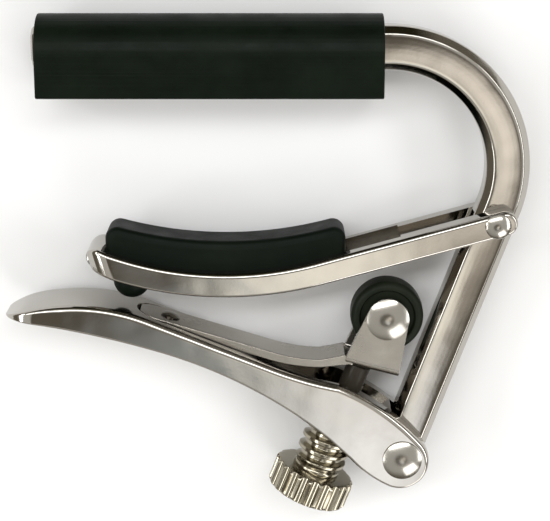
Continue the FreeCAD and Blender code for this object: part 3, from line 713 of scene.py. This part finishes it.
def make_bracket():
    """Spring strip, folded up at its end into a channel whose sides are trimmed to ears.

    The last union is sensitive: with a wider bevel on the channel the mesh comes out open or empty.
    """
    gauge, strip_half, strip_end = 1.35, 3.5, -40.55
    place = at(*AXLE)
    strip = through([(-40.15, 1.0), (strip_end, 1.0 - gauge), (-19.45, -5.5 - gauge),
                     (-10.8, -6.9 - gauge), (-6.3, -7.75), (-5.6, -7.9), (-5.6, -6.9), (-6.4, -6.4),
                     (-6.9, -6.1), (-10.8, -6.9), (-19.05, -5.5)], {2: 30, 9: -28}, 0.4)

    def leaf_end(x):
        return (0.2 + 0.943 * quarter(x - strip_end, strip_half)) / strip_half
    leaf = plate("leaf", strip, strip_half, 0.16, place, steps=3,
                 squeeze=(strip_end, -37.05, leaf_end))
    cut(leaf, rod("hole", 1.0, -1, 3, along(*LEAF_RIVET, LEAF_AXIS)))

    base = np.array((1.75 + 6.6, -9.95 + 7.75))
    base /= np.linalg.norm(base)
    turn = Matrix(((-base[1], 0, base[0]), (base[0], 0, base[1]), (0, 1, 0))).to_4x4()
    fold = Matrix.Translation((AXLE[0] - 6.6, AXLE[1] - 7.75, 0)) @ turn
    wide, gap, thick, high, outer, inner = 3.75, 2.75, 1.2, 16.0, 1.3, 0.4
    section = through([(high, -wide), (outer, -wide), (0, -wide + outer), (0, wide - outer),
                       (outer, wide), (high, wide), (high, gap), (thick + inner, gap),
                       (thick, gap - inner), (thick, inner - gap), (thick + inner, -gap),
                       (high, -gap)],
                      {1: -outer, 3: -outer, 7: inner, 9: inner}, 0.3)
    channel = block("fold", section, -0.6, 9.4, fold)
    radius = 3.45

    def round_point(angle):
        t = math.radians(angle)
        return (radius * math.cos(t), radius * math.sin(t))
    ears = through([(-6.75, -6.6), (-7.0, -9.0), (1.6, -11.2), (2.1, -8.8), round_point(-10),
                    round_point(73), round_point(155.8)], {4: radius, 5: radius}, 0.25)
    combine(channel, block("ears", ears, -5, 5, place), "INTERSECT")
    cut(channel, rod("bore", 1.51, -THROUGH, THROUGH, place), bevel=0.07)
    combine(channel, leaf, "UNION")
    soften(channel)
    channel.name = "bracket"
    finish_piece(channel, SPRING, "bracket", "spring_steel", "roller_bracket")


def make_roller():
    """A hard hub with a rubber tyre round it: recessed sides, round shoulders, a crowned tread."""
    place = at(*AXLE)
    half, bore, hub_radius, radius, shoulder, recess = 2.65, 1.55, 2.6, 5.9, 1.1, 2.1
    hub_section = [(bore, -half), (hub_radius, -half), (hub_radius, half), (bore, half)]
    hub = ring_solid("hub", hub_section, place)
    finish_piece(hub, PLASTIC, "roller", "tip_plastic", "roller_hub")
    section = [(hub_radius, -recess), (4.3, -recess), (4.45, -half + 0.2), (4.6, -half)]
    steps = 8
    for k in range(steps + 1):
        t = math.pi / 2 * k / steps
        section.append((radius - shoulder + shoulder * math.sin(t),
                        -half + shoulder * (1 - math.cos(t))))
    section.append((radius + 0.06, 0.0))
    profile = section + [(r, -h) for r, h in reversed(section[:-1])]
    tyre = ring_solid("tyre", profile, place, 128)
    finish_piece(tyre, TYRE, "roller", "roller_rubber", "roller_tyre")


def make_rivet(name, node, body, where, shank, head, height, grip):
    """A domed rivet with a small rolled rim at each head."""
    rim = 0.25 * height
    side = [(shank, grip), (head - 0.12, grip), (head, grip + 0.1), (head, grip + rim * 0.7)]
    cap = dome(head - 0.02, grip + rim, height - rim)
    upper = side + cap
    lower = [(r, -h) for r, h in reversed(upper)]
    rivet = lathe(name, lower + upper, at(*where), 96)
    finish_piece(rivet, RIVET, body, "rivet_nickel", node)


def make_leaf_rivet():
    top, grip, shank, head = 1.4, -2.7, 0.9, 1.6
    profile = [(0, grip), (shank, grip), (shank, top), (head - 0.05, top), (head, top + 0.06)]
    profile += dome(head - 0.02, top + 0.08, 0.37)
    rivet = lathe("leaf_pin", profile, along(*LEAF_RIVET, LEAF_AXIS), 64)
    finish_piece(rivet, RIVET, "lever", "rivet_nickel", "leaf_rivet")


# --- Screw, knob and tip ------------------------------------------------------------------------

SCREW_PLACE = along(*KNOB, SCREW_AXIS)


def make_screw():
    """The stud: a collar, then one helical thread cut to a flat crest, bored at the far end."""
    root, crest, pitch, start, stop = 3.4, 4.3, 2.0, 5.4, 16.6

    def threaded(radius, height, angle):
        if radius < 3.0 or not start < height < stop:
            return radius
        phase = (height / pitch - angle / (2 * math.pi)) % 1.0
        flank = np.interp(phase, [0, 0.12, 0.38, 0.62, 0.88, 1.0], [0, 0, 1, 1, 0, 0])
        flank = flank * flank * (3 - 2 * flank)
        lead = min(height - start, stop - height, 1.0)
        return root + (crest - root) * flank * max(lead, 0.0)
    steps = 150
    profile = [(0, 0.6), (2.58, 0.6), (2.58, 4.6), (3.85, 4.6), (3.9, 4.7), (3.9, 5.25), (3.8, 5.4)]
    profile += [(root, start + 0.001 + (stop - start - 0.002) * k / steps) for k in range(steps + 1)]
    profile += [(1.15, stop), (1.15, stop - 3.05), (0, stop - 3.05)]
    stud = lathe("stud", profile, SCREW_PLACE, 96, radius_at=threaded)
    finish_piece(stud, SCREW, "screw", "screw_nickel", "adjusting_screw")


def make_knob():
    """A disc with rounded edges and round flutes, open behind for the stud."""
    radius, height, edge, count = 6.85, 4.6, 0.7, 22

    def fluted(size, _, angle):
        if size < radius - edge - 0.05:
            return size
        phase = (angle * count / (2 * math.pi)) % 1.0
        offset = (phase - 0.5) * 2 * math.pi * radius / count
        flute, standing = 0.72, 0.12
        depth = math.sqrt(max(flute ** 2 - offset ** 2, 0.0)) - standing
        return min(size, radius - max(depth, 0.0))
    steps = 6
    corner = []
    for k in range(steps + 1):
        t = math.pi / 2 * k / steps
        corner.append((radius - edge + edge * math.sin(t), edge * (1 - math.cos(t))))
    profile = [(0, 0.15), (3.0, 0.12), (5.0, 0.0), (5.7, 0.0)] + corner + [(radius, height / 2)]
    profile += [(size, height - level) for size, level in reversed(corner)]
    profile += [(5.6, height), (4.6, height), (2.6, height), (2.6, 0.6), (0, 0.6)]
    knob = lathe("knob", profile, SCREW_PLACE, count * 16, sharp=50, radius_at=fluted)
    finish_piece(knob, SCREW, "screw", "screw_nickel", "thumb_knob")


def make_tip():
    foot, stem, radius, top = 16.65, 1.1, 2.0, 24.25
    profile = [(0, foot - 3.0), (stem, foot - 3.0), (stem, foot), (radius - 0.1, foot),
               (radius, foot + 0.1), (radius, 24.1), (radius, 24.2)]
    profile += dome(radius - 0.02, top, 0.35)
    tip = lathe("tip_pin", profile, SCREW_PLACE, 64)
    finish_piece(tip, PLASTIC, "tip", "tip_plastic", "screw_tip")


# --- Stage, lights and camera -------------------------------------------------------------------

def make_stage():
    """A plain pale paper floor just below the capo."""
    level = cad_bounds[0][2] - 0.0002
    size = 3.0
    verts = [(-size, -size, level), (size, -size, level), (size, size, level), (-size, size, level)]
    mesh = bpy.data.meshes.new("floor")
    mesh.from_pydata(verts, [], [(0, 1, 2, 3)])
    floor = bpy.data.objects.new("floor", mesh)
    bpy.context.scene.collection.objects.link(floor)
    s = Surface("floor_paper", roughness=0.9)
    greys = [(0.3, (0.77, 0.77, 0.77)), (0.7, (0.785, 0.785, 0.785))]
    s.wire("Base Color", s.ramp(s.noise(4, 2), greys))
    s.wire("Normal", s.bump(s.noise(1800, 3), 0.05, 0.00005))
    s.shader.inputs["Specular IOR Level"].default_value = 0.1
    mesh.materials.append(s.material)


def soft_box(name, where, width, height, power, colour=(1, 1, 1)):
    """A rectangular lamp aimed at the middle of the capo."""
    target = (0.01, -0.03, 0)
    data = bpy.data.lights.new(name, "AREA")
    data.shape = "RECTANGLE"
    data.size, data.size_y = width, height
    data.energy = power
    data.color = colour
    light = bpy.data.objects.new(name, data)
    light.location = where
    light.rotation_euler = (Vector(target) - Vector(where)).to_track_quat("-Z", "Y").to_euler()
    bpy.context.scene.collection.objects.link(light)


def make_lights():
    """A soft dome with two dark flags and five reflector cards in it, and four strip boxes."""
    cool = (0.97, 0.985, 1.0)
    soft_box("overhead", (-0.08, 0.36, 0.80), 1.10, 0.16, 3.7, cool)
    soft_box("front_right", (0.40, -0.68, 0.56), 0.50, 0.45, 2.6)
    soft_box("left", (-0.72, 0.00, 0.54), 0.90, 0.18, 3.2, cool)
    soft_box("right", (0.76, 0.05, 0.50), 0.90, 0.16, 2.6, cool)
    world = bpy.data.worlds.new("studio")
    world.use_nodes = True
    nodes, links = world.node_tree.nodes, world.node_tree.links
    place = nodes.new("ShaderNodeTexCoord").outputs["Generated"]

    def toward(direction):
        dot = nodes.new("ShaderNodeVectorMath")
        dot.operation = "DOT_PRODUCT"
        dot.inputs[1].default_value = Vector(direction).normalized()
        links.new(place, dot.inputs[0])
        return dot.outputs["Value"]

    def ramp(value, stops):
        node = nodes.new("ShaderNodeValToRGB")
        for i, (position, colour) in enumerate(stops):
            stop = node.color_ramp.elements[i] if i < 2 else node.color_ramp.elements.new(position)
            stop.position = position
            stop.color = (*colour, 1)
        links.new(value, node.inputs["Fac"])
        return node.outputs["Color"]

    def mixed(a, b, how):
        mix = nodes.new("ShaderNodeMix")
        mix.data_type = "RGBA"
        mix.blend_type = how
        mix.inputs["Factor"].default_value = 1.0
        links.new(a, mix.inputs["A"])
        links.new(b, mix.inputs["B"])
        return mix.outputs["Result"]

    # the dome, dark near the floor and bright above, with the flag over the capo
    sky = ramp(toward((0, 0, 1)), [(0.0, (0.16, 0.145, 0.12)), (0.30, (0.14, 0.12, 0.09)),
                                   (0.60, (0.56, 0.545, 0.52)), (0.95, (0.60, 0.585, 0.56))])
    flag = ramp(toward((0.01, -0.26, 0.966)), [(0.945, (1, 1, 1)), (0.970, (0.20, 0.18, 0.15))])
    sky = mixed(sky, flag, "MULTIPLY")

    # reflector cards: direction, cosine where the card's edge starts and where it is full, colour
    cards = (((0.115, -0.21, 0.971), 0.990, 0.9987, (0.42, 0.39, 0.35)),
             ((-0.05, -0.335, 0.942), 0.9972, 0.9990, (0.24, 0.28, 0.31)),
             ((0.138, -0.172, 0.975), 0.99916, 0.9998, (0.85, 0.81, 0.76)),
             ((0.068, -0.378, 0.923), 0.9970, 0.9996, (1.40, 1.44, 1.50)),
             ((0.024, -0.265, 0.964), 0.99798, 0.99893, (1.08, 1.06, 0.98)))
    for direction, outer, inner, colour in cards:
        sky = mixed(sky, ramp(toward(direction), [(outer, (0, 0, 0)), (inner, colour)]), "ADD")

    # a second flag low behind the bar
    dark = ramp(toward((0.0, 0.96, 0.28)), [(0.88, (1, 1, 1)), (0.95, (0.15, 0.15, 0.10))])
    links.new(mixed(sky, dark, "MULTIPLY"), nodes["Background"].inputs["Color"])
    nodes["Background"].inputs["Strength"].default_value = 1.3
    bpy.context.scene.world = world
    bpy.context.scene.view_settings.view_transform = "Standard"


def make_camera():
    data = bpy.data.cameras.new("camera")
    data.sensor_width = 36.0
    data.lens = 104.2
    data.clip_start = 0.01
    aim = (0.0101, -0.0273)
    camera = bpy.data.objects.new("camera", data)
    tilt = math.radians(15)
    reach = 0.2585
    camera.location = (aim[0], aim[1] + reach * math.sin(tilt), reach * math.cos(tilt))
    camera.rotation_euler = (-tilt, 0, 0)
    bpy.context.scene.collection.objects.link(camera)
    bpy.context.scene.camera = camera


make_bar()
make_sleeve()
make_arm()
make_pad()
make_bumper()
make_lever()
make_bracket()
make_roller()
make_rivet("arm_pin_head", "arm_rivet", "arm", ARM_PIVOT, 1.2, 2.05, 0.8, 6.05)
make_rivet("lever_pin_head", "lever_rivet", "frame", LEVER_PIVOT, 2.0, 3.2, 1.1, 6.05)
make_rivet("axle_head", "roller_axle", "bracket", AXLE, 1.5, 3.45, 1.1, 3.75)
make_leaf_rivet()
make_screw()
make_knob()
make_tip()
make_stage()
make_lights()
make_camera()
